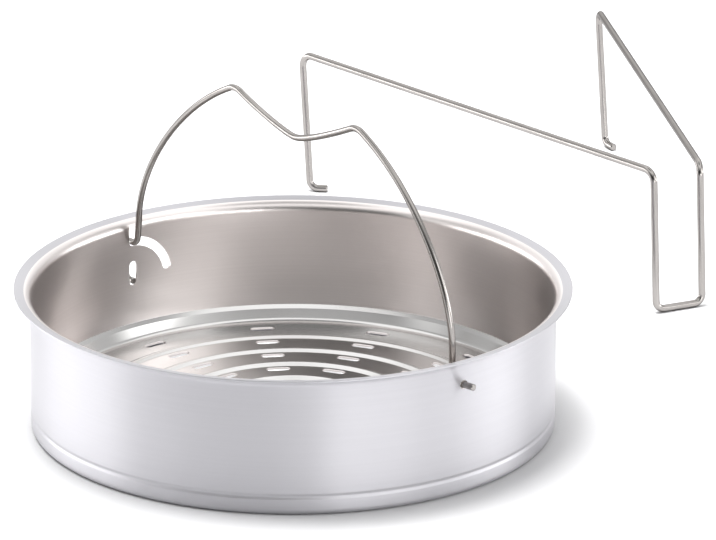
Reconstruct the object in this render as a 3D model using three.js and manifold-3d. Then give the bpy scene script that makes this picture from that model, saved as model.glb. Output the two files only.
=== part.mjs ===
// Steamer insert for a pressure cooker: a sheet steel pan with a perforated floor, the wire bail that
// swings in its wall, and the bent wire trivet that it stands on in the pot. Millimetres, +Z up.
// +X runs along the bail's hinge, and the bail folds towards +Y.
// The origin is the middle of the set's footprint, on the table.

import * as THREE from 'three';
import { mergeVertices } from 'three/addons/utils/BufferGeometryUtils.js';
import Module from 'manifold-3d';

const wasm = await Module();
wasm.setup();

// Pan: a wall with a flared lip and a turned-in foot, and a dished floor that is joined inside the wall
const SHEET = 0.8;
const PAN_HEIGHT = 53;
const WALL_RADIUS = 96.2;
const LIP_WIDTH = 5.8;
const LIP_RISE = 1.5;
const LIP_BEND = 3;
const GROOVE_HEIGHT = 7.1;
const GROOVE_WIDTH = 2.2;
const GROOVE_DEPTH = 0.4;
const FOOT_WIDTH = 5.6;
const FOOT_BEND = 2.4;
const FLOOR_HEIGHT = 5.6;
const FLOOR_BEND = 3;

// The floor's upturned edge: a flange that leans in from the wall, with its top edge rounded off
const FLANGE_TOP = 11.5;
const FLANGE_LEAN = 30;
const FLANGE_EDGE_WIDTH = 1.2;
const FLANGE_EDGE_DROP = 1.4;

// Ribs and steam slots of the floor, in rings: each rib lies inside its row of slots
const ROW_PITCH = 14.8;
const RIB_INSET = 9.6;
const RIB_WIDTH = 4.4;
const RIB_HEIGHT = 1.2;
const SLOT_EDGE_MARGIN = 7.1;
const SLOT_LENGTH = 8.8;
const SLOT_WIDTH = 3;
const SLOT_COLUMNS = 12;
const SLOT_PHASE = -1.2;

// Bail, and the openings in the wall that it works in
const BAIL_WIRE = 2.4;
const BAIL_BEND = 3;
const BAIL_CLEARANCE = 0.55;
const LEFT_LEG_INSET = 3.8;
const RIGHT_LEG_INSET = 5.7;
const CROSSING_INSET = 2.6;
const GUIDE_TOP_DROP = 3;
const GUIDE_RADIUS = 15.45;
const GUIDE_SWING = 77;
const LOCK_LIFT = 4.5;
const TIP_LIFT = 6;
const RIGHT_PIVOT_DROP = 11.2;
const TIP_INSIDE = 0.5;
const STUB_OUTSIDE = 5.6;

// The bail's arch, along the middle of its wire: heights above the rim, how far its dip lies to the right
// of the pan's axis, and how far each curve runs on in the direction that it starts with
const LEFT_HUMP_HEIGHT = 67;
const RIGHT_HUMP_HEIGHT = 69;
const DIP_HEIGHT = 57;
const HUMP_SPACING = 69.4;
const DIP_SHIFT = 1.1;
const HUMP_BEND = 7.2;
const HUMP_SLOPE = 25;
const LEG_PULL = 22.7;
const HUMP_PULL = 33;
const DIP_PULL = 6.3;

// Trivet
const TRIVET_WIRE = 2.8;
const TRIVET_BEND = 5;
const TRIVET_HEIGHT = 57.4;
const TRIVET_REACH = 191.9;
const TRIVET_SPREAD = 134.2;
const U_LEG_WIDTH = 20;
const U_LEG_BEND = 3.5;
const U_LEG_LEAN = 4;
const HOOK_LEG_LEAN = 8;
const HOOK_LENGTH = 7;
const HOOK_BEND = 3.5;
const LEFT_HOOK_TURN = 40;
const RIGHT_HOOK_TURN = 19;
const TRIVET_SPOT = new THREE.Vector2(-4.3, 192.3);
const TRIVET_HEADING = 166.3;

// Mesh fineness
const PAN_SIDES = 48;
const WIRE_SIDES = 10;
const SHEET_BEND_STEP = 46;
const WIRE_BEND_STEP = 24;
const ARCH_SIDE_STEPS = 9;
const ARCH_DIP_STEPS = 6;
const FLOOR_SLOT_ARC_STEPS = 2;
const WALL_SLOT_ARC_STEPS = 8;
const CUT_MARGIN = 2;
const MERGE_DISTANCE = 1e-4;

const sheetSteel = { color: 0xc9c6c4, roughness: 0.3, metalness: 1 };
const wireSteel = { color: 0x9a938e, roughness: 0.35, metalness: 1 };
const radians = THREE.MathUtils.degToRad;
const up = new THREE.Vector3(0, 0, 1);

// Corners joined by straight runs, each rounded to its bend or to the bend that its runs have room for:
// a list of points with their directions
function bentRun(corners, bendStep = WIRE_BEND_STEP) {
  const runs = corners.slice(1).map(({ at }, i) => at.clone().sub(corners[i].at));
  const turns = corners.map((_, i) => (runs[i - 1] && runs[i] ? runs[i - 1].angleTo(runs[i]) : 0));
  const setbacks = corners.map(({ bend = 0 }, i) => bend * Math.tan(turns[i] / 2));
  runs.forEach((run, i) => {
    const crowding = Math.max(1, (setbacks[i] + setbacks[i + 1]) / run.length());
    setbacks[i] /= crowding;
    setbacks[i + 1] /= crowding;
  });
  return corners.flatMap(({ at }, i) => {
    if (setbacks[i] === 0) {
      return [{ point: at.clone(), along: (runs[i] ?? runs[i - 1]).clone().normalize() }];
    }
    const before = runs[i - 1].clone().normalize();
    const axis = before.clone().cross(runs[i]).normalize();
    const start = at.clone().addScaledVector(before, -setbacks[i]);
    const toCentre = axis.clone().cross(before).multiplyScalar(setbacks[i] / Math.tan(turns[i] / 2));
    const centre = start.clone().add(toCentre);
    const steps = Math.ceil(turns[i] / radians(bendStep));
    return Array.from({ length: steps + 1 }, (_, k) => {
      const angle = (turns[i] * k) / steps;
      const spoke = toCentre.clone().negate().applyAxisAngle(axis, angle);
      return { point: spoke.add(centre), along: before.clone().applyAxisAngle(axis, angle) };
    });
  });
}

function curveRun(curve, steps) {
  return Array.from({ length: steps + 1 }, (_, k) => ({
    point: curve.getPoint(k / steps),
    along: curve.getTangent(k / steps),
  }));
}

// A wire's centre line that is sampled at its stations only, so that straight runs take a single step
class WireLine extends THREE.Curve {
  constructor(stations) {
    super();
    this.stations = stations.filter(({ point }, i) => (
      i === 0 || point.distanceTo(stations[i - 1].point) > MERGE_DISTANCE
    ));
  }

  station(t) {
    return this.stations[Math.round(t * (this.stations.length - 1))];
  }

  getUtoTmapping(u) {
    return u;
  }

  getPoint(t, target = new THREE.Vector3()) {
    return target.copy(this.station(t).point);
  }

  getTangent(t, target = new THREE.Vector3()) {
    return target.copy(this.station(t).along);
  }
}

function wireGeometry(stations, diameter) {
  const line = new WireLine(stations);
  const section = new THREE.Shape();
  for (let k = 0; k < WIRE_SIDES; k++) {
    const angle = (2 * Math.PI * k) / WIRE_SIDES;
    const corner = [(diameter / 2) * Math.cos(angle), (diameter / 2) * Math.sin(angle)];
    if (k === 0) section.moveTo(...corner);
    else section.lineTo(...corner);
  }
  return new THREE.ExtrudeGeometry(section, { steps: line.stations.length - 1, extrudePath: line });
}

function toSolid(geometry) {
  const bare = geometry.clone();
  bare.deleteAttribute('normal');
  bare.deleteAttribute('uv');
  const merged = mergeVertices(bare, MERGE_DISTANCE);
  const index = Array.from(merged.index.array);
  const triangles = [];
  for (let i = 0; i < index.length; i += 3) {
    const [a, b, c] = index.slice(i, i + 3);
    if (a !== b && b !== c && c !== a) triangles.push(a, b, c);
  }
  return new wasm.Manifold(new wasm.Mesh({
    numProp: 3,
    vertProperties: new Float32Array(merged.attributes.position.array),
    triVerts: new Uint32Array(triangles),
  }));
}

function toGeometry(solid) {
  const { vertProperties, triVerts } = solid.getMesh();
  const geometry = new THREE.BufferGeometry();
  geometry.setAttribute('position', new THREE.BufferAttribute(vertProperties, 3));
  geometry.setIndex(new THREE.BufferAttribute(triVerts, 1));
  return geometry;
}

function steelMesh(name, geometry, steel) {
  const mesh = new THREE.Mesh(geometry, new THREE.MeshStandardMaterial(steel));
  mesh.name = name;
  return mesh;
}

// Radii of the pan that several features share
const wallInside = WALL_RADIUS - SHEET;
const flangeEdge = wallInside - FLANGE_EDGE_WIDTH;
const flangeHeight = FLANGE_TOP - FLANGE_EDGE_DROP - FLOOR_HEIGHT;
const flangeFoot = flangeEdge - flangeHeight * Math.tan(radians(FLANGE_LEAN));
const outerSlotRadius = flangeFoot - SLOT_EDGE_MARGIN;
const ringCount = Math.floor((outerSlotRadius - RIB_INSET) / ROW_PITCH);

// The hinge runs through the left guide's pivot and the right hole, which is the higher of the two
const guideWidth = BAIL_WIRE + 2 * BAIL_CLEARANCE;
const leftPivotDrop = GUIDE_TOP_DROP + guideWidth / 2 + LOCK_LIFT + GUIDE_RADIUS;
const hingeLeft = new THREE.Vector3(-WALL_RADIUS, 0, PAN_HEIGHT - leftPivotDrop);
const hingeRight = new THREE.Vector3(WALL_RADIUS, 0, PAN_HEIGHT - RIGHT_PIVOT_DROP);
const hingeLine = hingeRight.clone().sub(hingeLeft).normalize();
const hingeTilt = Math.atan2(hingeLine.z, hingeLine.x);

function onHinge(x) {
  return hingeLeft.clone().addScaledVector(hingeLine, (x - hingeLeft.x) / hingeLine.x);
}

// One side of the floor's sheet, from its centre out over the ribs
function ribbedFloor(height) {
  const corners = [{ at: new THREE.Vector3(0, height, 0) }];
  for (let ring = ringCount - 1; ring >= 0; ring--) {
    const crest = outerSlotRadius - ring * ROW_PITCH - RIB_INSET;
    corners.push({ at: new THREE.Vector3(crest - RIB_WIDTH / 2, height, 0) });
    corners.push({ at: new THREE.Vector3(crest, height + RIB_HEIGHT, 0) });
    corners.push({ at: new THREE.Vector3(crest + RIB_WIDTH / 2, height, 0) });
  }
  return corners;
}

// Half section of the pan: out along the floor's underside, round the foot, up to the lip and back inside
function panSection() {
  const rim = WALL_RADIUS + LIP_WIDTH;
  const foot = WALL_RADIUS - FOOT_WIDTH;
  const corner = (r, z, bend = 0) => ({ at: new THREE.Vector3(r, z, 0), bend });
  const corners = [
    ...ribbedFloor(FLOOR_HEIGHT - SHEET),
    corner(wallInside, FLOOR_HEIGHT - SHEET),
    corner(wallInside, SHEET, FOOT_BEND - SHEET),
    corner(foot, SHEET),
    corner(foot, 0),
    corner(WALL_RADIUS, 0, FOOT_BEND),
    corner(WALL_RADIUS, GROOVE_HEIGHT - GROOVE_WIDTH / 2),
    corner(WALL_RADIUS - GROOVE_DEPTH, GROOVE_HEIGHT),
    corner(WALL_RADIUS, GROOVE_HEIGHT + GROOVE_WIDTH / 2),
    corner(WALL_RADIUS, PAN_HEIGHT - LIP_RISE - SHEET, LIP_BEND),
    corner(rim, PAN_HEIGHT - SHEET),
    corner(rim, PAN_HEIGHT),
    corner(wallInside, PAN_HEIGHT - LIP_RISE, LIP_BEND + SHEET),
    corner(wallInside, FLANGE_TOP),
    corner(flangeEdge, FLANGE_TOP - FLANGE_EDGE_DROP),
    corner(flangeFoot, FLOOR_HEIGHT, FLOOR_BEND),
    ...ribbedFloor(FLOOR_HEIGHT).reverse(),
  ];
  return bentRun(corners, SHEET_BEND_STEP).map(({ point }) => new THREE.Vector2(point.x, point.y));
}

function panSheet() {
  const sheet = new THREE.LatheGeometry(panSection(), PAN_SIDES);
  sheet.rotateX(Math.PI / 2);
  return toSolid(sheet);
}

// A straight slot with round ends, centred on the origin and running along x
function slotShape(length, width) {
  const shape = new THREE.Shape();
  const reach = (length - width) / 2;
  shape.absarc(reach, 0, width / 2, -Math.PI / 2, Math.PI / 2);
  shape.absarc(-reach, 0, width / 2, Math.PI / 2, (3 * Math.PI) / 2);
  return shape;
}

// The guide slot in the wall, drawn looking along the hinge with its pivot at the origin and up along y:
// a quarter ring that the bail sweeps, and the upright notch above its start that locks the bail
function guideShape() {
  const shape = new THREE.Shape();
  const endRadius = guideWidth / 2;
  const end = Math.PI / 2 - radians(GUIDE_SWING);
  const endX = GUIDE_RADIUS * Math.cos(end);
  const endY = GUIDE_RADIUS * Math.sin(end);
  const inner = GUIDE_RADIUS - endRadius;
  const outer = GUIDE_RADIUS + endRadius;
  const notchSide = Math.asin(endRadius / outer);
  shape.absarc(0, GUIDE_RADIUS + LOCK_LIFT, endRadius, 0, Math.PI);
  shape.absarc(0, GUIDE_RADIUS, endRadius, Math.PI, (3 * Math.PI) / 2);
  shape.absarc(0, 0, inner, Math.PI / 2, end, true);
  shape.absarc(endX, endY, endRadius, end + Math.PI, end + 2 * Math.PI);
  shape.absarc(0, 0, outer, end, Math.PI / 2 - notchSide);
  return shape;
}

function punch(shape, curveSegments, depth) {
  const tool = new THREE.ExtrudeGeometry(shape, { depth, curveSegments, bevelEnabled: false });
  return tool.translate(0, 0, -depth / 2);
}

// Turns a tool drawn in x and y so that x runs along +Y, y runs up, and it cuts along the hinge at that end
function atWall(tool, pivot) {
  tool.applyMatrix4(new THREE.Matrix4().makeBasis(
    new THREE.Vector3(0, 1, 0),
    new THREE.Vector3(0, 0, 1),
    new THREE.Vector3(1, 0, 0),
  ));
  tool.rotateY(-hingeTilt);
  tool.translate(pivot.x, pivot.y, pivot.z);
  return tool;
}

function floorSlots() {
  const tools = [];
  const depth = 2 * (SHEET + CUT_MARGIN);
  for (let ring = 0; ring < ringCount; ring++) {
    const radius = outerSlotRadius - ring * ROW_PITCH;
    const crowded = (2 * Math.PI * radius) / SLOT_COLUMNS < SLOT_LENGTH + 2 * SLOT_WIDTH;
    const columns = crowded ? Math.floor(SLOT_COLUMNS / 2) : SLOT_COLUMNS;
    for (let column = 0; column < columns; column++) {
      const bearing = radians(SLOT_PHASE) + (2 * Math.PI * column) / columns;
      const tool = punch(slotShape(SLOT_LENGTH, SLOT_WIDTH), FLOOR_SLOT_ARC_STEPS, depth);
      tool.rotateZ(Math.PI / 2).translate(radius, 0, FLOOR_HEIGHT).rotateZ(bearing);
      tools.push(tool);
    }
  }
  return tools;
}

function wallOpenings() {
  const reach = GUIDE_RADIUS + guideWidth;
  const wallSagitta = WALL_RADIUS - Math.sqrt(WALL_RADIUS ** 2 - reach ** 2);
  const depth = 2 * (wallSagitta + SHEET + CUT_MARGIN);
  const guide = punch(guideShape(), WALL_SLOT_ARC_STEPS, depth);
  const lift = punch(slotShape(guideWidth + TIP_LIFT, guideWidth), WALL_SLOT_ARC_STEPS, depth);
  lift.rotateZ(Math.PI / 2).translate(0, TIP_LIFT / 2, 0);
  const hole = punch(slotShape(guideWidth, guideWidth), WALL_SLOT_ARC_STEPS, depth);
  return [atWall(guide, hingeLeft), atWall(lift, hingeLeft), atWall(hole, hingeRight)];
}

function pan() {
  let solid = panSheet();
  for (const tool of [...floorSlots(), ...wallOpenings()]) {
    solid = solid.subtract(toSolid(tool));
  }
  return steelMesh('pan', toGeometry(solid), sheetSteel);
}

// One half of the bail's arch towards +X, from the rim up over the hump to the middle of the dip at dipX
function archHalf(legX, humpHeight, dipX) {
  const slope = radians(HUMP_SLOPE);
  const humpX = dipX + HUMP_SPACING / 2;
  const halfHump = HUMP_BEND * Math.sin(slope);
  const peak = PAN_HEIGHT + humpHeight + HUMP_BEND * (1 / Math.cos(slope) - 1);
  const fall = halfHump * Math.tan(slope);
  const leg = new THREE.Vector3(legX, 0, PAN_HEIGHT);
  const outer = new THREE.Vector3(humpX + halfHump, 0, peak - fall);
  const inner = new THREE.Vector3(humpX - halfHump, 0, peak - fall);
  const dip = new THREE.Vector3(dipX, 0, PAN_HEIGHT + DIP_HEIGHT);
  const outward = new THREE.Vector3(Math.cos(slope), 0, -Math.sin(slope));
  const inward = new THREE.Vector3(-Math.cos(slope), 0, -Math.sin(slope));
  const side = new THREE.CubicBezierCurve3(
    leg,
    leg.clone().addScaledVector(up, LEG_PULL),
    outer.clone().addScaledVector(outward, HUMP_PULL),
    outer,
  );
  const sag = new THREE.CubicBezierCurve3(
    inner,
    inner.clone().addScaledVector(inward, DIP_PULL),
    new THREE.Vector3(dipX + DIP_PULL, 0, dip.z),
    dip,
  );
  const hump = bentRun([
    { at: outer },
    { at: new THREE.Vector3(humpX, 0, peak), bend: HUMP_BEND },
    { at: inner },
  ]);
  return [...curveRun(side, ARCH_SIDE_STEPS), ...hump, ...curveRun(sag, ARCH_DIP_STEPS)];
}

function mirrorX(stations) {
  const flip = new THREE.Vector3(-1, 1, 1);
  return stations.map(({ point, along }) => ({
    point: point.clone().multiply(flip),
    along: along.clone().multiply(flip),
  }));
}

function backwards(stations) {
  return stations.map(({ point, along }) => ({ point, along: along.clone().negate() })).reverse();
}

// The left end comes out through the guide, runs down outside the wall and turns back in at the pivot.
// The right end turns out through its hole and stops as a short stub.
function handle() {
  const leftLegX = wallInside - LEFT_LEG_INSET;
  const rightLegX = wallInside - RIGHT_LEG_INSET;
  const outX = WALL_RADIUS + SHEET + BAIL_BEND;
  const crossing = hingeLeft.z + GUIDE_RADIUS * Math.cos(hingeTilt);
  const leftEnd = bentRun([
    { at: onHinge(-wallInside + TIP_INSIDE) },
    { at: onHinge(-outX), bend: BAIL_BEND },
    { at: new THREE.Vector3(-outX, 0, crossing), bend: BAIL_BEND },
    { at: new THREE.Vector3(CROSSING_INSET - wallInside, 0, crossing), bend: BAIL_BEND },
    { at: new THREE.Vector3(-leftLegX, 0, PAN_HEIGHT) },
  ]);
  const rightEnd = bentRun([
    { at: new THREE.Vector3(rightLegX, 0, PAN_HEIGHT) },
    { at: onHinge(rightLegX), bend: BAIL_BEND },
    { at: onHinge(WALL_RADIUS + STUB_OUTSIDE) },
  ]);
  const leftHalf = mirrorX(archHalf(leftLegX, LEFT_HUMP_HEIGHT, -DIP_SHIFT));
  const rightHalf = backwards(archHalf(rightLegX, RIGHT_HUMP_HEIGHT, DIP_SHIFT));
  const stations = [...leftEnd, ...leftHalf, ...rightHalf, ...rightEnd];
  return steelMesh('handle', wireGeometry(stations, BAIL_WIRE), wireSteel);
}

// A V of two bars on three legs: a U-shaped one at the point and a hooked one at each far end
function trivet() {
  const low = TRIVET_WIRE / 2;
  const high = TRIVET_HEIGHT - TRIVET_WIRE / 2;
  const footBelow = (top, lean) => {
    return new THREE.Vector3(top.x - (high - low) * Math.tan(radians(lean)), top.y, low);
  };
  const arm = (side, hookTurn) => {
    const near = new THREE.Vector3(0, (side * U_LEG_WIDTH) / 2, high);
    const far = new THREE.Vector3(TRIVET_REACH, (side * TRIVET_SPREAD) / 2, high);
    const foot = footBelow(far, HOOK_LEG_LEAN);
    const hook = near.clone().sub(far).setLength(HOOK_LENGTH).applyAxisAngle(up, radians(hookTurn));
    return [
      { at: foot.clone().add(hook) },
      { at: foot, bend: HOOK_BEND },
      { at: far, bend: TRIVET_BEND },
      { at: near, bend: TRIVET_BEND },
      { at: footBelow(near, U_LEG_LEAN), bend: U_LEG_BEND },
    ];
  };
  const stations = bentRun([...arm(1, LEFT_HOOK_TURN), ...arm(-1, RIGHT_HOOK_TURN).reverse()]);
  const mesh = steelMesh('trivet', wireGeometry(stations, TRIVET_WIRE), wireSteel);
  mesh.position.set(TRIVET_SPOT.x, TRIVET_SPOT.y, 0);
  mesh.rotation.z = radians(TRIVET_HEADING);
  return mesh;
}

const steamerInsert = new THREE.Group();
steamerInsert.add(pan(), handle(), trivet());
const footprint = new THREE.Box3().setFromObject(steamerInsert, true);
const middle = footprint.getCenter(new THREE.Vector3());
steamerInsert.position.set(-middle.x, -middle.y, 0);

export default steamerInsert;
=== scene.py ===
import math

import bmesh
import bpy
from mathutils import Matrix, Vector


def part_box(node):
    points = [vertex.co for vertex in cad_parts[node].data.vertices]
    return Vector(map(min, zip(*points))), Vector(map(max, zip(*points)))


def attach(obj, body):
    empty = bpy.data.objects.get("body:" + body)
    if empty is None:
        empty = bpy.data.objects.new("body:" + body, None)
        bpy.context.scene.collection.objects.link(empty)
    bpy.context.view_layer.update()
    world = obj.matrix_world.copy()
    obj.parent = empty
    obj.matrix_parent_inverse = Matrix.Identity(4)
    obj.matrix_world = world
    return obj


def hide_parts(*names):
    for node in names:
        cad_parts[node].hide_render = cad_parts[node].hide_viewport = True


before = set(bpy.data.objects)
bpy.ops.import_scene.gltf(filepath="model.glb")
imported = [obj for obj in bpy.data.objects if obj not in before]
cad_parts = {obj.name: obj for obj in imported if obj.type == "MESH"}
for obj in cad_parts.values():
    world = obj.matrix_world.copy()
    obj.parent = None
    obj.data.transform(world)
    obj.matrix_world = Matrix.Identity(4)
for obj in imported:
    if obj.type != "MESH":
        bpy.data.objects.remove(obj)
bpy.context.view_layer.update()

# Steamer insert for a pressure cooker: a pressed steel pan with a folding wire bail, and its wire trivet.
# Sizes are in millimetres and angles in degrees. Everything is built round the pan's axis, which the
# frame places.
MM = 0.001
pan_low, pan_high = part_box("pan")
PAN_AXIS = Vector(((pan_low.x + pan_high.x) / 2, (pan_low.y + pan_high.y) / 2, 0))

# Pan: a wall with a flared lip and a turned-in foot, and a dished floor joined inside the wall
SHEET = 0.8
PAN_HEIGHT = 53
WALL_RADIUS = 96.2
LIP_WIDTH = 5.8
LIP_RISE = 1.5
LIP_BEND = 3
GROOVE_HEIGHT = 7.1
GROOVE_WIDTH = 2.2
GROOVE_DEPTH = 0.4
GROOVE_BEND = 1.2
FOOT_WIDTH = 5.6
FOOT_BEND = 2.4
FLOOR_HEIGHT = 5.6
FLOOR_BEND = 3
EDGE_BEND = 0.3

# The floor's upturned edge: a flange that leans in from the wall, with its top edge rounded off
FLANGE_TOP = 11.5
FLANGE_LEAN = 30
FLANGE_EDGE_WIDTH = 1.2
FLANGE_EDGE_DROP = 1.4

# Ribs and steam slots of the pan's floor, in rings: each rib lies inside its row of slots. The ribs are
# rounded and a little lower than the solid's, as a press leaves them.
ROW_PITCH = 14.8
RIB_INSET = 9.6
RIB_WIDTH = 4.4
RIB_HEIGHT = 1.1
RIB_BEND = 1.6
SLOT_EDGE_MARGIN = 7.1
SLOT_LENGTH = 8.8
SLOT_WIDTH = 3
SLOT_COLUMNS = 12
SLOT_PHASE = -1.2
SLOT_ROLL = 0.2

# Bail, and the openings in the wall that it works in
BAIL_WIRE = 2.4
BAIL_BEND = 3
BAIL_CLEARANCE = 0.55
LEFT_LEG_INSET = 3.8
RIGHT_LEG_INSET = 5.7
CROSSING_INSET = 2.6
GUIDE_TOP_DROP = 3
GUIDE_RADIUS = 15.45
GUIDE_SWING = 77
LOCK_LIFT = 4.5
TIP_LIFT = 6
RIGHT_PIVOT_DROP = 11.2
TIP_INSIDE = 0.5
STUB_OUTSIDE = 5.6
LEFT_HUMP_HEIGHT = 67
RIGHT_HUMP_HEIGHT = 69
DIP_HEIGHT = 57
HUMP_SPACING = 69.4
DIP_SHIFT = 1.1
HUMP_BEND = 7.2
HUMP_SLOPE = 25
LEG_PULL = 22.7
HUMP_PULL = 33
DIP_PULL = 6.3

# Trivet
TRIVET_WIRE = 2.8
TRIVET_BEND = 5
TRIVET_HEIGHT = 57.4
TRIVET_REACH = 191.9
TRIVET_SPREAD = 134.2
U_LEG_WIDTH = 20
U_LEG_BEND = 3.5
U_LEG_LEAN = 4
HOOK_LEG_LEAN = 8
HOOK_LENGTH = 7
HOOK_BEND = 3.5
LEFT_HOOK_TURN = 40
RIGHT_HOOK_TURN = 19
TRIVET_SPOT = Vector((-4.3, 192.3, 0))
TRIVET_HEADING = 166.3

# Mesh fineness
PAN_SIDES = 240
SHEET_BEND_STEP = 9
WIRE_BEND_STEP = 6
WIRE_SIDES = 28
WIRE_END_ROUNDING = 0.25
CURVE_STEPS = 40
SLOT_ARC_STEPS = 10
WALL_ROW_HEIGHT = 5
SHARP_ANGLE = 35
WALL_CUT_DEPTH = 12
FLOOR_CUT_OVERSHOOT = 1

# The pan's steels, in the order of its material slots
WALL_STEEL = 0
OUTSIDE_STEEL = 1
FLOOR_STEEL = 2

# Finishes. The shader counts the turn of a brushed sheen in whole turns, and a quarter of one sets it
# across the lines.
STREAK_LENGTH = 60
WAVE_LENGTH = 45
DRAW_LINE_LENGTH = 15
DRAW_LINE_SPACING = 0.5
ACROSS_LINES = 0.25

# The view: camera direction, its distance from the rim's centre, and that centre's place in the image
VIEW_AZIMUTH = 50.9
VIEW_ELEVATION = 19.515
IMAGE_SIZE = (716, 540)
RIM_CENTRE_PIXEL = (293.2, 284.6)
FOCAL_PIXELS = 7000
CAMERA_DISTANCE = 2554.6
SENSOR_WIDTH = 36

# The stage, in metres, degrees and watts: the table's reach each way, and the lamp above it. The lamp's
# bearing counts from the camera, with the camera's right at 90.
TABLE_REACH = 6
LAMP_BEARING = -118
LAMP_ELEVATION = 81
LAMP_DISTANCE = 1.6
LAMP_SIZE = 0.8
LAMP_POWER = 52

# Radii and heights that several features share
WALL_INSIDE = WALL_RADIUS - SHEET
FLANGE_EDGE = WALL_INSIDE - FLANGE_EDGE_WIDTH
FLANGE_HEIGHT = FLANGE_TOP - FLANGE_EDGE_DROP - FLOOR_HEIGHT
FLANGE_FOOT = FLANGE_EDGE - FLANGE_HEIGHT * math.tan(math.radians(FLANGE_LEAN))
OUTER_SLOT_RADIUS = FLANGE_FOOT - SLOT_EDGE_MARGIN
RING_COUNT = int((OUTER_SLOT_RADIUS - RIB_INSET) / ROW_PITCH)
GUIDE_WIDTH = BAIL_WIRE + 2 * BAIL_CLEARANCE
LEFT_PIVOT_DROP = GUIDE_TOP_DROP + GUIDE_WIDTH / 2 + LOCK_LIFT + GUIDE_RADIUS
HINGE_LEFT = Vector((-WALL_RADIUS, 0, PAN_HEIGHT - LEFT_PIVOT_DROP))
HINGE_RIGHT = Vector((WALL_RADIUS, 0, PAN_HEIGHT - RIGHT_PIVOT_DROP))
HINGE_LINE = (HINGE_RIGHT - HINGE_LEFT).normalized()
HINGE_TILT = math.atan2(HINGE_LINE.z, HINGE_LINE.x)


# Lines and curves

def rounded_corners(corners, step):
    """For each corner, given with its bend, the points that round it off."""
    rounded = []
    for i, (at, bend) in enumerate(corners):
        if bend == 0:
            rounded.append([at.copy()])
            continue
        before = (at - corners[i - 1][0]).normalized()
        after = (corners[i + 1][0] - at).normalized()
        turn = before.angle(after)
        axis = before.cross(after).normalized()
        start = at - before * bend * math.tan(turn / 2)
        to_centre = axis.cross(before) * bend
        steps = max(2, math.ceil(turn / math.radians(step)))
        spokes = [Matrix.Rotation(turn * k / steps, 3, axis) @ -to_centre for k in range(steps + 1)]
        rounded.append([start + to_centre + spoke for spoke in spokes])
    return rounded


def bent_run(corners, step):
    """Points along straight runs whose corners are rounded."""
    return [point for points in rounded_corners(corners, step) for point in points]


def bezier(a, b, c, d):
    """Points along a cubic curve."""
    points = []
    for k in range(CURVE_STEPS + 1):
        t = k / CURVE_STEPS
        s = 1 - t
        points.append(a * s**3 + b * 3 * s * s * t + c * 3 * s * t * t + d * t**3)
    return points


def without_repeats(points, tolerance=1e-4):
    """The points, less each one that lies on the one before it."""
    kept = [points[0]]
    for point in points[1:]:
        if (point - kept[-1]).length > tolerance:
            kept.append(point)
    return kept


def arc(x, y, radius, start, end):
    """Points along a flat arc, with angles in radians."""
    angles = [start + (end - start) * k / SLOT_ARC_STEPS for k in range(SLOT_ARC_STEPS + 1)]
    return [Vector((x + radius * math.cos(a), y + radius * math.sin(a), 0)) for a in angles]


# Meshes

def finish_mesh(name, bm, materials):
    """Makes an object on the pan's axis from a mesh in millimetres, smooth but for its sharp edges."""
    bmesh.ops.scale(bm, vec=(MM, MM, MM), verts=bm.verts)
    bmesh.ops.recalc_face_normals(bm, faces=bm.faces)
    mesh = bpy.data.meshes.new(name)
    bm.to_mesh(mesh)
    bm.free()
    mesh.shade_smooth()
    mesh.set_sharp_from_angle(angle=math.radians(SHARP_ANGLE))
    for material in materials:
        mesh.materials.append(material)
    piece = bpy.data.objects.new(name, mesh)
    piece.location = PAN_AXIS
    bpy.context.scene.collection.objects.link(piece)
    return piece


def add_rings(bm, rings):
    """Joins closed rings of points with faces, and caps the two ends."""
    made = [[bm.verts.new(point) for point in ring] for ring in rings]
    for low, high in zip(made, made[1:]):
        for i in range(len(low)):
            j = (i + 1) % len(low)
            bm.faces.new((low[i], low[j], high[j], high[i]))
    bm.faces.new(list(reversed(made[0])))
    bm.faces.new(made[-1])


# Pan

def ribbed_floor(height):
    """Corners of one side of the floor's sheet, from its centre out over the ribs."""
    corners = [(0, height, 0)]
    for ring in reversed(range(RING_COUNT)):
        crest = OUTER_SLOT_RADIUS - ring * ROW_PITCH - RIB_INSET
        corners.append((crest - RIB_WIDTH / 2, height, RIB_BEND))
        corners.append((crest, height + RIB_HEIGHT, RIB_BEND))
        corners.append((crest + RIB_WIDTH / 2, height, RIB_BEND))
    return corners


def wall_rows(radius, low, high):
    """Evenly spaced points up the wall, which keep its faces short."""
    rows = round((high - low) / WALL_ROW_HEIGHT)
    return [(radius, low + (high - low) * k / rows, 0) for k in range(1, rows)]


def pan_outside():
    """Corners of the pan's underside, foot, outer wall and lip."""
    rim = WALL_RADIUS + LIP_WIDTH
    foot = WALL_RADIUS - FOOT_WIDTH
    groove_top = GROOVE_HEIGHT + GROOVE_WIDTH / 2
    return [
        *ribbed_floor(FLOOR_HEIGHT - SHEET),
        (WALL_INSIDE, FLOOR_HEIGHT - SHEET, 0),
        (WALL_INSIDE, SHEET, FOOT_BEND - SHEET),
        (foot, SHEET, EDGE_BEND),
        (foot, 0, EDGE_BEND),
        (WALL_RADIUS, 0, FOOT_BEND),
        (WALL_RADIUS, GROOVE_HEIGHT - GROOVE_WIDTH / 2, GROOVE_BEND),
        (WALL_RADIUS - GROOVE_DEPTH, GROOVE_HEIGHT, GROOVE_BEND),
        (WALL_RADIUS, groove_top, GROOVE_BEND),
        *wall_rows(WALL_RADIUS, groove_top, PAN_HEIGHT - 2 * LIP_BEND),
        (WALL_RADIUS, PAN_HEIGHT - LIP_RISE - SHEET, LIP_BEND),
        (rim, PAN_HEIGHT - SHEET, EDGE_BEND),
        (rim, PAN_HEIGHT, EDGE_BEND),
    ]


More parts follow.
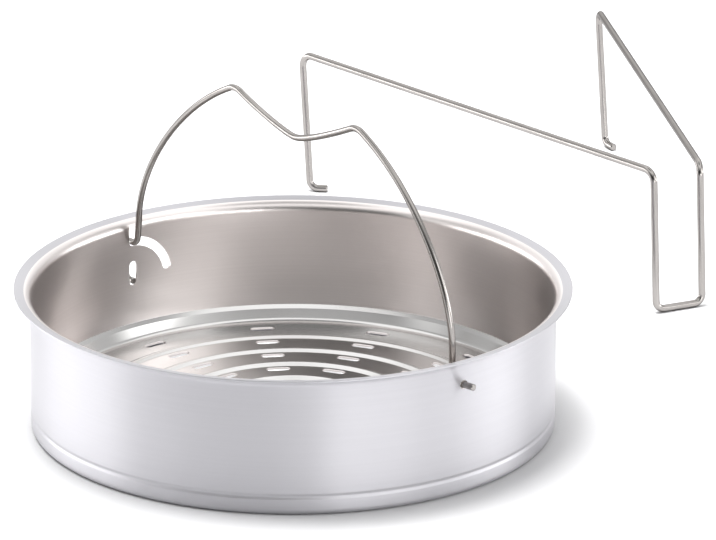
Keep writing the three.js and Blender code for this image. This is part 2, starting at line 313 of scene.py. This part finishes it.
def pan_inside():
    """Corners of the pan's inside, from the bend under the lip down to the floor's centre."""
    return [
        (WALL_INSIDE, PAN_HEIGHT - LIP_RISE, LIP_BEND + SHEET),
        *reversed(wall_rows(WALL_INSIDE, FLANGE_TOP, PAN_HEIGHT - 2 * LIP_BEND)),
        (WALL_INSIDE, FLANGE_TOP, EDGE_BEND),
        (FLANGE_EDGE, FLANGE_TOP - FLANGE_EDGE_DROP, EDGE_BEND),
        (FLANGE_FOOT, FLOOR_HEIGHT, FLOOR_BEND),
        *reversed(ribbed_floor(FLOOR_HEIGHT)),
    ]


def pan_sheet(bm):
    """Spins the pan's section round its axis. Each face gets the steel of the outside with its lip, of the
    floor with its flange, or of the wall's inside."""
    outside = pan_outside()
    corners = [(Vector((r, 0, z)), bend) for r, z, bend in outside + pan_inside()]
    rounded = rounded_corners(corners, SHEET_BEND_STEP)
    section = [point for points in rounded for point in points]
    outside_count = sum(len(points) for points in rounded[:len(outside)])
    steels = []
    for i, point in enumerate(section):
        if i < outside_count:
            steels.append(OUTSIDE_STEEL)
        elif point.z < FLANGE_TOP:
            steels.append(FLOOR_STEEL)
        else:
            steels.append(WALL_STEEL)
    columns = []
    for k in range(PAN_SIDES):
        turn = Matrix.Rotation(math.tau * k / PAN_SIDES, 3, "Z")
        columns.append([bm.verts.new(turn @ point) for point in section[1:-1]])
    bottom = bm.verts.new(section[0])
    top = bm.verts.new(section[-1])
    for k, column in enumerate(columns):
        following = columns[(k + 1) % PAN_SIDES]
        for i in range(len(column) - 1):
            face = bm.faces.new((column[i], following[i], following[i + 1], column[i + 1]))
            face.material_index = steels[i + 1]
        face = bm.faces.new((bottom, following[0], column[0]))
        face.material_index = steels[0]
        face = bm.faces.new((top, column[-1], following[-1]))
        face.material_index = steels[-1]


def slot_outline(length, width):
    """A straight slot with round ends, along y."""
    reach = (length - width) / 2
    far_end = arc(0, reach, width / 2, 0, math.pi)
    near_end = arc(0, -reach, width / 2, math.pi, math.tau)
    return without_repeats(far_end + near_end)


def guide_outline():
    """The bail's guide slot, seen along the hinge with the pivot at the origin and up along y."""
    end_radius = GUIDE_WIDTH / 2
    end = math.radians(90 - GUIDE_SWING)
    end_x = GUIDE_RADIUS * math.cos(end)
    end_y = GUIDE_RADIUS * math.sin(end)
    outer = GUIDE_RADIUS + end_radius
    upright = math.pi / 2
    points = arc(0, GUIDE_RADIUS + LOCK_LIFT, end_radius, 0, math.pi)
    points += arc(0, GUIDE_RADIUS, end_radius, math.pi, 3 * upright)
    points += arc(0, 0, GUIDE_RADIUS - end_radius, upright, end)
    points += arc(end_x, end_y, end_radius, end + math.pi, end + math.tau)
    points += arc(0, 0, outer, end, upright - math.asin(end_radius / outer))
    return without_repeats(points)


def add_floor_cuts(bm):
    """Cutters for the steam slots. Each flares at the top, as a punched edge rolls over."""
    levels = [
        (FLOOR_HEIGHT - SHEET - FLOOR_CUT_OVERSHOOT, 0),
        (FLOOR_HEIGHT - SLOT_ROLL, 0),
        (FLOOR_HEIGHT + SLOT_ROLL, 2 * SLOT_ROLL),
    ]
    for ring in range(RING_COUNT):
        radius = OUTER_SLOT_RADIUS - ring * ROW_PITCH
        crowded = math.tau * radius / SLOT_COLUMNS < SLOT_LENGTH + 2 * SLOT_WIDTH
        columns = SLOT_COLUMNS // 2 if crowded else SLOT_COLUMNS
        for column in range(columns):
            bearing = math.radians(SLOT_PHASE) + math.tau * column / columns
            turn = Matrix.Rotation(bearing, 3, "Z")
            rings = []
            for height, grow in levels:
                outline = slot_outline(SLOT_LENGTH + 2 * grow, SLOT_WIDTH + 2 * grow)
                rings.append([turn @ (point + Vector((radius, 0, height))) for point in outline])
            add_rings(bm, rings)


def add_wall_cuts(bm):
    """Cutters for the guide, for the oval that the left tip lifts in, and for the right hole."""
    along_hinge = Matrix(((0, 0, 1), (1, 0, 0), (0, 1, 0)))
    tilted = Matrix.Rotation(-HINGE_TILT, 3, "Y") @ along_hinge
    lift_middle = Vector((0, TIP_LIFT / 2, 0))
    oval = [point + lift_middle for point in slot_outline(GUIDE_WIDTH + TIP_LIFT, GUIDE_WIDTH)]
    hole = without_repeats(arc(0, 0, GUIDE_WIDTH / 2, 0, math.tau))[:-1]
    for outline, pivot in ((guide_outline(), HINGE_LEFT), (oval, HINGE_LEFT), (hole, HINGE_RIGHT)):
        rings = []
        for depth in (-WALL_CUT_DEPTH / 2, WALL_CUT_DEPTH / 2):
            rings.append([pivot + tilted @ (point + Vector((0, 0, depth))) for point in outline])
        add_rings(bm, rings)


def make_pan(wall_steel, outside_steel, floor_steel):
    """The pan, with its slots and openings cut through the sheet."""
    bm = bmesh.new()
    pan_sheet(bm)
    pan = finish_mesh("steamer_pan", bm, [wall_steel, outside_steel, floor_steel])
    bm = bmesh.new()
    add_floor_cuts(bm)
    add_wall_cuts(bm)
    cutters = finish_mesh("pan_cutters", bm, [])
    cut = pan.modifiers.new("openings", "BOOLEAN")
    cut.operation = "DIFFERENCE"
    cut.solver = "EXACT"
    cut.object = cutters
    depsgraph = bpy.context.evaluated_depsgraph_get()
    sheet = pan.data
    pan.data = bpy.data.meshes.new_from_object(pan.evaluated_get(depsgraph))
    pan.data.set_sharp_from_angle(angle=math.radians(SHARP_ANGLE))
    pan.modifiers.remove(cut)
    bpy.data.meshes.remove(sheet)
    bpy.data.meshes.remove(cutters.data)
    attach(pan, "pan")
    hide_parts("pan")


# Wires

def wire(name, path, diameter, steel):
    """A round wire along a path, with its cut ends a little rounded. Its UV map holds the length along
    the wire and the way round it, in millimetres."""
    path = without_repeats(path)
    radius = diameter / 2
    last = len(path) - 1
    tangents = []
    for i in range(len(path)):
        tangents.append((path[min(i + 1, last)] - path[max(i - 1, 0)]).normalized())
    side = tangents[0].orthogonal().normalized()
    rounding = radius * WIRE_END_ROUNDING
    rings = [(path[0], tangents[0], side, radius - rounding)]
    for i, point in enumerate(path):
        if i > 0:
            side = tangents[i - 1].rotation_difference(tangents[i]) @ side
        if i == 0:
            point = point + tangents[0] * rounding
        if i == last:
            point = point - tangents[last] * rounding
        rings.append((point, tangents[i], side, radius))
    rings.append((path[last], tangents[last], side, radius - rounding))
    bm = bmesh.new()
    turns = [math.tau * k / WIRE_SIDES for k in range(WIRE_SIDES)]
    add_rings(bm, [
        [at + (Matrix.Rotation(turn, 3, along) @ across) * r for turn in turns]
        for at, along, across, r in rings
    ])
    uv = bm.loops.layers.uv.new("wire")
    lengths = [0]
    for (a, *_), (b, *_) in zip(rings, rings[1:]):
        lengths.append(lengths[-1] + (b - a).length)
    for k, face in enumerate(bm.faces):
        row, column = divmod(k, WIRE_SIDES)
        if row >= len(rings) - 1:
            continue
        corners = ((row, column), (row, column + 1), (row + 1, column + 1), (row + 1, column))
        for loop, (ring, side_of_ring) in zip(face.loops, corners):
            loop[uv].uv = (lengths[ring], math.tau * radius * side_of_ring / WIRE_SIDES)
    return finish_mesh(name, bm, [steel])


def on_hinge(x):
    """The point of the hinge's line at x."""
    return HINGE_LEFT + HINGE_LINE * (x - HINGE_LEFT.x) / HINGE_LINE.x


def arch_half(leg_x, hump_height, dip_x):
    """Half of the bail's arch towards +X, from the rim up over its hump to the middle of the dip."""
    slope = math.radians(HUMP_SLOPE)
    hump_x = dip_x + HUMP_SPACING / 2
    half_hump = HUMP_BEND * math.sin(slope)
    peak = PAN_HEIGHT + hump_height + HUMP_BEND * (1 / math.cos(slope) - 1)
    shoulder = peak - half_hump * math.tan(slope)
    leg = Vector((leg_x, 0, PAN_HEIGHT))
    outer = Vector((hump_x + half_hump, 0, shoulder))
    inner = Vector((hump_x - half_hump, 0, shoulder))
    dip = Vector((dip_x, 0, PAN_HEIGHT + DIP_HEIGHT))
    outward = Vector((math.cos(slope), 0, -math.sin(slope)))
    inward = Vector((-math.cos(slope), 0, -math.sin(slope)))
    side = bezier(leg, leg + Vector((0, 0, LEG_PULL)), outer + outward * HUMP_PULL, outer)
    hump = bent_run([(outer, 0), (Vector((hump_x, 0, peak)), HUMP_BEND), (inner, 0)], WIRE_BEND_STEP)
    sag = bezier(inner, inner + inward * DIP_PULL, dip + Vector((DIP_PULL, 0, 0)), dip)
    return side + hump + sag


def make_bail(steel):
    """The bail. Its left end comes out through the guide, runs down outside the wall and turns back in
    at the pivot. Its right end turns out through a hole and stops as a stub."""
    left_leg = Vector((LEFT_LEG_INSET - WALL_INSIDE, 0, PAN_HEIGHT))
    right_leg = Vector((WALL_INSIDE - RIGHT_LEG_INSET, 0, PAN_HEIGHT))
    out_x = WALL_RADIUS + SHEET + BAIL_BEND
    crossing = HINGE_LEFT.z + GUIDE_RADIUS * math.cos(HINGE_TILT)
    left_end = [
        (on_hinge(-WALL_INSIDE + TIP_INSIDE), 0),
        (on_hinge(-out_x), BAIL_BEND),
        (Vector((-out_x, 0, crossing)), BAIL_BEND),
        (Vector((CROSSING_INSET - WALL_INSIDE, 0, crossing)), BAIL_BEND),
        (left_leg, 0),
    ]
    right_end = [
        (right_leg, 0),
        (on_hinge(right_leg.x), BAIL_BEND),
        (on_hinge(WALL_RADIUS + STUB_OUTSIDE), 0),
    ]
    mirror = Matrix.Scale(-1, 3, Vector((1, 0, 0)))
    path = bent_run(left_end, WIRE_BEND_STEP)
    path += [mirror @ point for point in arch_half(-left_leg.x, LEFT_HUMP_HEIGHT, -DIP_SHIFT)]
    path += reversed(arch_half(right_leg.x, RIGHT_HUMP_HEIGHT, DIP_SHIFT))
    path += bent_run(right_end, WIRE_BEND_STEP)
    bail = wire("bail_wire", path, BAIL_WIRE, steel)
    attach(bail, "handle")
    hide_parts("handle")


def trivet_arm(side, hook_turn):
    """Half of the trivet from a hook's tip up its leg, along a bar and down to the U-shaped leg's foot."""
    low = TRIVET_WIRE / 2
    high = TRIVET_HEIGHT - TRIVET_WIRE / 2
    near = Vector((0, side * U_LEG_WIDTH / 2, high))
    far = Vector((TRIVET_REACH, side * TRIVET_SPREAD / 2, high))
    foot = Vector((far.x - (high - low) * math.tan(math.radians(HOOK_LEG_LEAN)), far.y, low))
    near_foot = Vector((-(high - low) * math.tan(math.radians(U_LEG_LEAN)), near.y, low))
    hook = Matrix.Rotation(math.radians(hook_turn), 3, "Z") @ (near - far).normalized() * HOOK_LENGTH
    return [
        (foot + hook, 0),
        (foot, HOOK_BEND),
        (far, TRIVET_BEND),
        (near, TRIVET_BEND),
        (near_foot, U_LEG_BEND),
    ]


def make_trivet(steel):
    """The trivet: a V of two bars on two hooked legs and one U-shaped leg, bent from one wire."""
    corners = trivet_arm(1, LEFT_HOOK_TURN) + trivet_arm(-1, RIGHT_HOOK_TURN)[::-1]
    heading = Matrix.Rotation(math.radians(TRIVET_HEADING), 3, "Z")
    path = [TRIVET_SPOT + heading @ point for point in bent_run(corners, WIRE_BEND_STEP)]
    trivet = wire("trivet_wire", path, TRIVET_WIRE, steel)
    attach(trivet, "trivet")
    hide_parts("trivet")


# Materials

def linear(hex_colour):
    """A colour written as sRGB hex, as the linear values that shaders take."""
    channels = [int(hex_colour[i:i + 2], 16) / 255 for i in (1, 3, 5)]
    return [c / 12.92 if c <= 0.04045 else ((c + 0.055) / 1.055) ** 2.4 for c in channels] + [1]


def add_node(tree, kind, inputs=(), **settings):
    """Adds a node, sets its settings, and sets or links its inputs."""
    node = tree.nodes.new(kind)
    for name, value in settings.items():
        setattr(node, name, value)
    for name, value in dict(inputs).items():
        if isinstance(value, bpy.types.NodeSocket):
            tree.links.new(value, node.inputs[name])
        else:
            node.inputs[name].default_value = value
    return node


def new_material(name):
    """An empty material with its node tree."""
    material = bpy.data.materials.new(name)
    material.use_nodes = True
    material.node_tree.nodes.clear()
    return material


def lathe_lines(tree, spacing):
    """Noise drawn out round the pan's axis: narrow lines across the section, long streaks along the turn.
    A lathe's real lines are too fine to show, so these are drawn as wide as the spacing."""
    place = add_node(tree, "ShaderNodeTexCoord").outputs["Object"]
    axes = add_node(tree, "ShaderNodeSeparateXYZ", {"Vector": place}).outputs
    flat = add_node(tree, "ShaderNodeCombineXYZ", {"X": axes["X"], "Y": axes["Y"]}).outputs["Vector"]
    radius = add_node(tree, "ShaderNodeVectorMath", {0: flat}, operation="LENGTH").outputs["Value"]
    section = add_node(tree, "ShaderNodeCombineXYZ", {
        "X": radius,
        "Y": axes["Z"],
        "Z": axes["X"],
    }).outputs["Vector"]
    drawn_out = add_node(tree, "ShaderNodeVectorMath", {
        0: section,
        1: (1 / (spacing * MM), 1 / (spacing * MM), 1 / (STREAK_LENGTH * MM)),
    }, operation="MULTIPLY").outputs["Vector"]
    noise = add_node(tree, "ShaderNodeTexNoise", {"Vector": drawn_out, "Scale": 1.0, "Detail": 1.0})
    return noise.outputs["Fac"]


def sheet_steel(name, colours, roughness, anisotropy, line_spacing, waviness):
    """Stainless sheet with lines round the pan's axis, which draw its reflections out across them. Pressing
    leaves the sheet wavy, by less than half a millimetre."""
    material = new_material(name)
    tree = material.node_tree
    lines = lathe_lines(tree, line_spacing)
    # Painted light and shade: the pan is one steel. The inside's colours are set lighter and warmer and the
    # outside's darker and cooler, for how light falls on each.
    tint = add_node(tree, "ShaderNodeMix", {
        "Factor": lines,
        "A": linear(colours[0]),
        "B": linear(colours[1]),
    }, data_type="RGBA")
    sheen = add_node(tree, "ShaderNodeMapRange", {
        "Value": lines,
        "To Min": roughness[0],
        "To Max": roughness[1],
    })
    place = add_node(tree, "ShaderNodeTexCoord").outputs["Object"]
    waves = add_node(tree, "ShaderNodeTexNoise", {
        "Vector": place,
        "Scale": 1 / (WAVE_LENGTH * MM),
        "Detail": 0.0,
    })
    bump = add_node(tree, "ShaderNodeBump", {"Height": waves.outputs["Fac"], "Distance": waviness * MM})
    round_axis = add_node(tree, "ShaderNodeTangent", direction_type="RADIAL", axis="Z")
    shader = add_node(tree, "ShaderNodeBsdfPrincipled", {
        "Base Color": tint.outputs["Result"],
        "Metallic": 1.0,
        "Roughness": sheen.outputs["Result"],
        "Normal": bump.outputs["Normal"],
        "Tangent": round_axis.outputs["Tangent"],
        "Anisotropic": anisotropy,
        "Anisotropic Rotation": ACROSS_LINES,
    })
    add_node(tree, "ShaderNodeOutputMaterial", {"Surface": shader.outputs["BSDF"]})
    return material


def brushed_wall_steel_painted_light():
    """Stainless sheet, brushed on the lathe inside: a satin sheen that fans out from the pan's axis. Its
    colours are painted lighter and warmer than the outside's, as painted light on the same steel.
    """
    return sheet_steel(
        "stainless_sheet_lathe_brushed_painted_light",
        colours=("#e2dcda", "#e8e2e0"),
        roughness=(0.28, 0.3),
        anisotropy=0.6,
        line_spacing=0.5,
        waviness=0.1,
    )


def bright_floor_steel():
    """The floor's disc, pressed from bright rolled sheet: clearer reflections, bent by its ribs."""
    return sheet_steel(
        "stainless_sheet_bright_rolled",
        colours=("#cccbca", "#d0cfce"),
        roughness=(0.14, 0.17),
        anisotropy=0.4,
        line_spacing=0.9,
        waviness=0.4,
    )


def buffed_outside_steel_painted_shade():
    """The wall's outside and lip, buffed on a wheel: soft reflections that are drawn out up the wall. Its
    colours are painted darker and cooler than the inside's, as painted shade on the same steel.
    """
    return sheet_steel(
        "stainless_sheet_buffed_painted_shade",
        colours=("#bebdc1", "#c4c3c7"),
        roughness=(0.36, 0.42),
        anisotropy=0.9,
        line_spacing=0.9,
        waviness=0.1,
    )


def drawn_wire_steel():
    """Stainless wire, drawn through a die: a dull sheen with lines along its length. The die's real lines
    are too fine to show, so they are drawn about half a millimetre apart."""
    material = new_material("stainless_wire_drawn")
    tree = material.node_tree
    along_wire = add_node(tree, "ShaderNodeUVMap", uv_map="wire").outputs["UV"]
    drawn_out = add_node(tree, "ShaderNodeVectorMath", {
        0: along_wire,
        1: (1 / DRAW_LINE_LENGTH, 1 / DRAW_LINE_SPACING, 0),
    }, operation="MULTIPLY").outputs["Vector"]
    noise = add_node(tree, "ShaderNodeTexNoise", {"Vector": drawn_out, "Scale": 1.0, "Detail": 1.0})
    lines = noise.outputs["Fac"]
    tint = add_node(tree, "ShaderNodeMix", {
        "Factor": lines,
        "A": linear("#8d8986"),
        "B": linear("#b8b4b1"),
    }, data_type="RGBA")
    sheen = add_node(tree, "ShaderNodeMapRange", {"Value": lines, "To Min": 0.26, "To Max": 0.16})
    round_wire = add_node(tree, "ShaderNodeTangent", direction_type="UV_MAP", uv_map="wire")
    shader = add_node(tree, "ShaderNodeBsdfPrincipled", {
        "Base Color": tint.outputs["Result"],
        "Metallic": 1.0,
        "Roughness": sheen.outputs["Result"],
        "Specular Tint": linear("#b4b4b4"),
        "Tangent": round_wire.outputs["Tangent"],
        "Anisotropic": 0.5,
        "Anisotropic Rotation": ACROSS_LINES,
    })
    add_node(tree, "ShaderNodeOutputMaterial", {"Surface": shader.outputs["BSDF"]})
    return material


# Stage

def make_floor():
    """A plain white table. A disc of it inside the pan's foot glows, a painted light where no lamp shines,
    so that the floor's slots show light.
    """
    near, far = -TABLE_REACH, TABLE_REACH
    mesh = bpy.data.meshes.new("floor")
    corners = [(near, near, 0), (far, near, 0), (far, far, 0), (near, far, 0)]
    mesh.from_pydata(corners, [], [(0, 1, 2, 3)])
    floor = bpy.data.objects.new("floor", mesh)
    bpy.context.scene.collection.objects.link(floor)
    material = new_material("white_table_with_painted_glow")
    tree = material.node_tree
    place = add_node(tree, "ShaderNodeNewGeometry").outputs["Position"]
    from_axis = add_node(tree, "ShaderNodeVectorMath", {0: place, 1: PAN_AXIS}, operation="DISTANCE")
    # Painted light: only the disc under the pan glows, so that the slots show light.
    painted_glow_under_pan = add_node(tree, "ShaderNodeMath", {
        0: from_axis.outputs["Value"],
        1: (WALL_RADIUS - FOOT_WIDTH) * MM,
    }, operation="LESS_THAN")
    shader = add_node(tree, "ShaderNodeBsdfPrincipled", {
        "Base Color": linear("#c5c5c6"),
        "Roughness": 0.6,
        "Emission Color": linear("#d6d6d6"),
        "Emission Strength": painted_glow_under_pan.outputs["Value"],
    })
    add_node(tree, "ShaderNodeOutputMaterial", {"Surface": shader.outputs["BSDF"]})
    mesh.materials.append(material)


def direction(bearing, elevation):
    """A direction away from the pan. Its bearing counts from the camera, with the camera's right at 90."""
    a = math.radians(VIEW_AZIMUTH + bearing)
    e = math.radians(elevation)
    return Vector((math.sin(a) * math.cos(e), -math.cos(a) * math.cos(e), math.sin(e)))


def make_table_lamp():
    """A soft box above the set. It lights the table, where the pan casts a soft shadow, but the steel
    doesn't mirror it."""
    light = bpy.data.lights.new("table_lamp", "AREA")
    light.shape = "SQUARE"
    light.size = LAMP_SIZE
    light.energy = LAMP_POWER
    lamp = bpy.data.objects.new("table_lamp", light)
    to_lamp = direction(LAMP_BEARING, LAMP_ELEVATION)
    lamp.location = PAN_AXIS + to_lamp * LAMP_DISTANCE
    lamp.rotation_euler = to_lamp.to_track_quat("Z", "Y").to_euler()
    lamp.visible_glossy = False
    bpy.context.scene.collection.objects.link(lamp)


def studio_ring(tree, share_of_turn, name, stops):
    """Brightness round the studio at one height, from stops given as a bearing and a grey."""
    ramp = add_node(tree, "ShaderNodeValToRGB", {"Fac": share_of_turn}, label=name)
    elements = ramp.color_ramp.elements
    ramp.color_ramp.interpolation = "EASE"
    for _ in stops[2:]:
        elements.new(1)
    for element, (bearing, grey) in zip(elements, stops):
        element.position = (bearing + 180) / 360
        element.color = (grey, grey, grey, 1)
    return ramp.outputs["Color"]


def make_studio():
    """The studio that the steel mirrors: three rings of screens with dark gaps between them, a ring of soft
    boxes above those, and a dim ceiling."""
    world = bpy.data.worlds.new("studio")
    world.use_nodes = True
    tree = world.node_tree
    tree.nodes.clear()
    outward = add_node(tree, "ShaderNodeTexCoord").outputs["Generated"]
    turned = add_node(tree, "ShaderNodeVectorRotate", {
        "Vector": outward,
        "Angle": -math.radians(VIEW_AZIMUTH),
    }, rotation_type="Z_AXIS")
    axes = add_node(tree, "ShaderNodeSeparateXYZ", {"Vector": turned.outputs["Vector"]})
    toward = add_node(tree, "ShaderNodeMath", {0: axes.outputs["Y"], 1: -1.0}, operation="MULTIPLY")
    bearing = add_node(tree, "ShaderNodeMath", {
        0: axes.outputs["X"],
        1: toward.outputs["Value"],
    }, operation="ARCTAN2")
    share_of_turn = add_node(tree, "ShaderNodeMapRange", {
        "Value": bearing.outputs["Value"],
        "From Min": -math.pi,
        "From Max": math.pi,
    }).outputs["Result"]
    low = studio_ring(tree, share_of_turn, "low", [
        (-180, 0.8), (-145, 0.9), (-112, 6), (-90, 5.2), (-64, 0.3), (-14, 0.1), (6, 1.2),
        (22, 5), (38, 2.7), (62, 0.1), (98, 6), (125, 0.6), (180, 0.8),
    ])
    middle = studio_ring(tree, share_of_turn, "middle", [
        (-180, 1.6), (-150, 1.1), (-90, 0.6), (-64, 1.15), (-44, 0.06), (20, 0.03),
        (48, 2.2), (64, 3.1), (78, 2.2), (95, 0.7), (150, 1.1), (180, 1.6),
    ])
    upper = studio_ring(tree, share_of_turn, "upper", [
        (-180, 1.55), (-90, 0.6), (20, 0.6), (50, 0.75), (80, 0.6), (180, 1.55),
    ])
    soft_boxes = (1.5, 1.5, 1.5, 1)
    ceiling = (0.4, 0.4, 0.4, 1)
    # Each band fades in over the one below it between two heights, given as sines of the elevation
    fades = [
        (0.18, 0.25, middle),
        (0.54, 0.62, upper),
        (0.74, 0.8, soft_boxes),
        (0.94, 0.97, ceiling),
    ]
    room = low
    for start, end, band in fades:
        fade = add_node(tree, "ShaderNodeMapRange", {
            "Value": axes.outputs["Z"],
            "From Min": start,
            "From Max": end,
        }, interpolation_type="SMOOTHSTEP").outputs["Result"]
        room = add_node(tree, "ShaderNodeMix", {
            "Factor": fade,
            "A": room,
            "B": band,
        }, data_type="RGBA").outputs["Result"]
    sky = add_node(tree, "ShaderNodeBackground", {"Color": room, "Strength": 1.0})
    add_node(tree, "ShaderNodeOutputWorld", {"Surface": sky.outputs["Background"]})
    bpy.context.scene.world = world


def make_camera():
    """The photograph's view. The camera looks a little past the rim's centre, which frames the set."""
    back = direction(0, VIEW_ELEVATION)
    right = Vector((0, 0, 1)).cross(back).normalized()
    up = back.cross(right)
    rim_right = RIM_CENTRE_PIXEL[0] - IMAGE_SIZE[0] / 2
    rim_up = IMAGE_SIZE[1] / 2 - RIM_CENTRE_PIXEL[1]
    aim = Vector((rim_right, rim_up, -FOCAL_PIXELS)).rotation_difference(Vector((0, 0, -1)))
    camera = bpy.data.objects.new("camera", bpy.data.cameras.new("camera"))
    camera.data.sensor_width = SENSOR_WIDTH
    camera.data.lens = FOCAL_PIXELS * SENSOR_WIDTH / IMAGE_SIZE[0]
    camera.location = PAN_AXIS + Vector((0, 0, PAN_HEIGHT * MM)) + back * CAMERA_DISTANCE * MM
    camera.rotation_euler = (Matrix((right, up, back)).transposed() @ aim.to_matrix()).to_euler()
    bpy.context.scene.collection.objects.link(camera)
    bpy.context.scene.camera = camera


make_camera()
make_pan(brushed_wall_steel_painted_light(), buffed_outside_steel_painted_shade(), bright_floor_steel())
wire_steel = drawn_wire_steel()
make_bail(wire_steel)
make_trivet(wire_steel)
make_floor()
make_table_lamp()
make_studio()
bpy.context.scene.view_settings.view_transform = "Standard"
